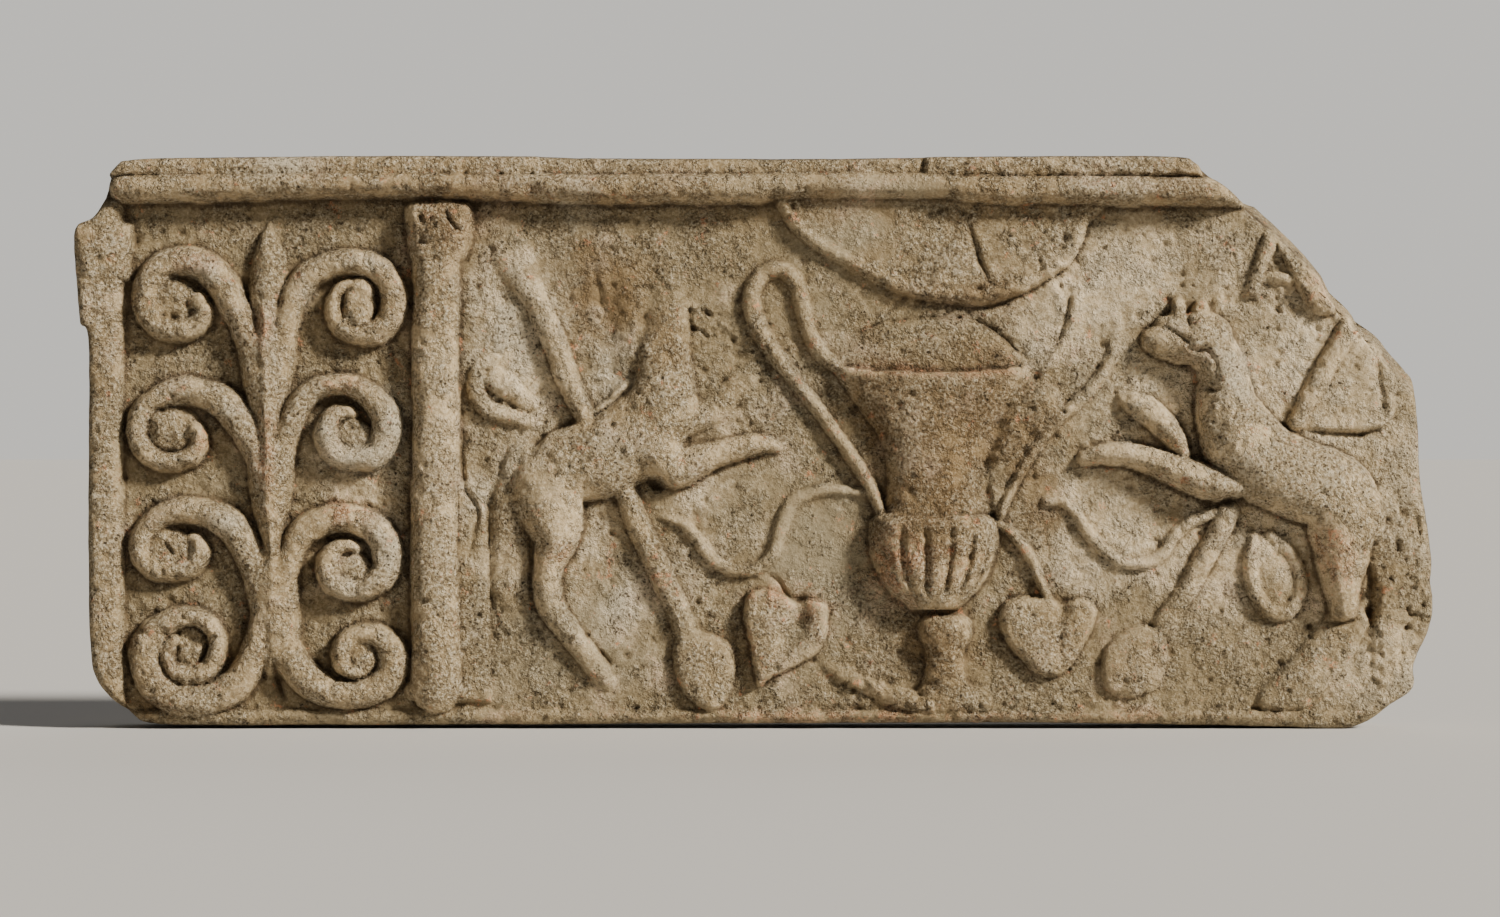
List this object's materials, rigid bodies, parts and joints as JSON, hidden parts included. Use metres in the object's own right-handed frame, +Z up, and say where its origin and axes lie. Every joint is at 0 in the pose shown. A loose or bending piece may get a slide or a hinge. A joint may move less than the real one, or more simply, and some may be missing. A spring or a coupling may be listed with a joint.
{
  "type": "relief plaque",
  "caption": "Long terracotta wall plaque in relief: rolled scroll shoots behind a column, and beasts rearing at a two-handled wine vessel; one upper corner is broken off.",
  "frame": {"origin": "centre of the flat back face, where the plaque meets the wall", "axes": "+X towards the broken end with the right-hand beast, +Y out of the back into the wall, +Z up towards the cornice"},
  "size_m": [0.5204, 0.0494, 0.2196],
  "materials": {
    "fired_clay": "matt, gritty, with grey and whitish deposits"
  },
  "bodies": {
    "root": {"plaque": "fired_clay"}
  },
  "joints": []
}
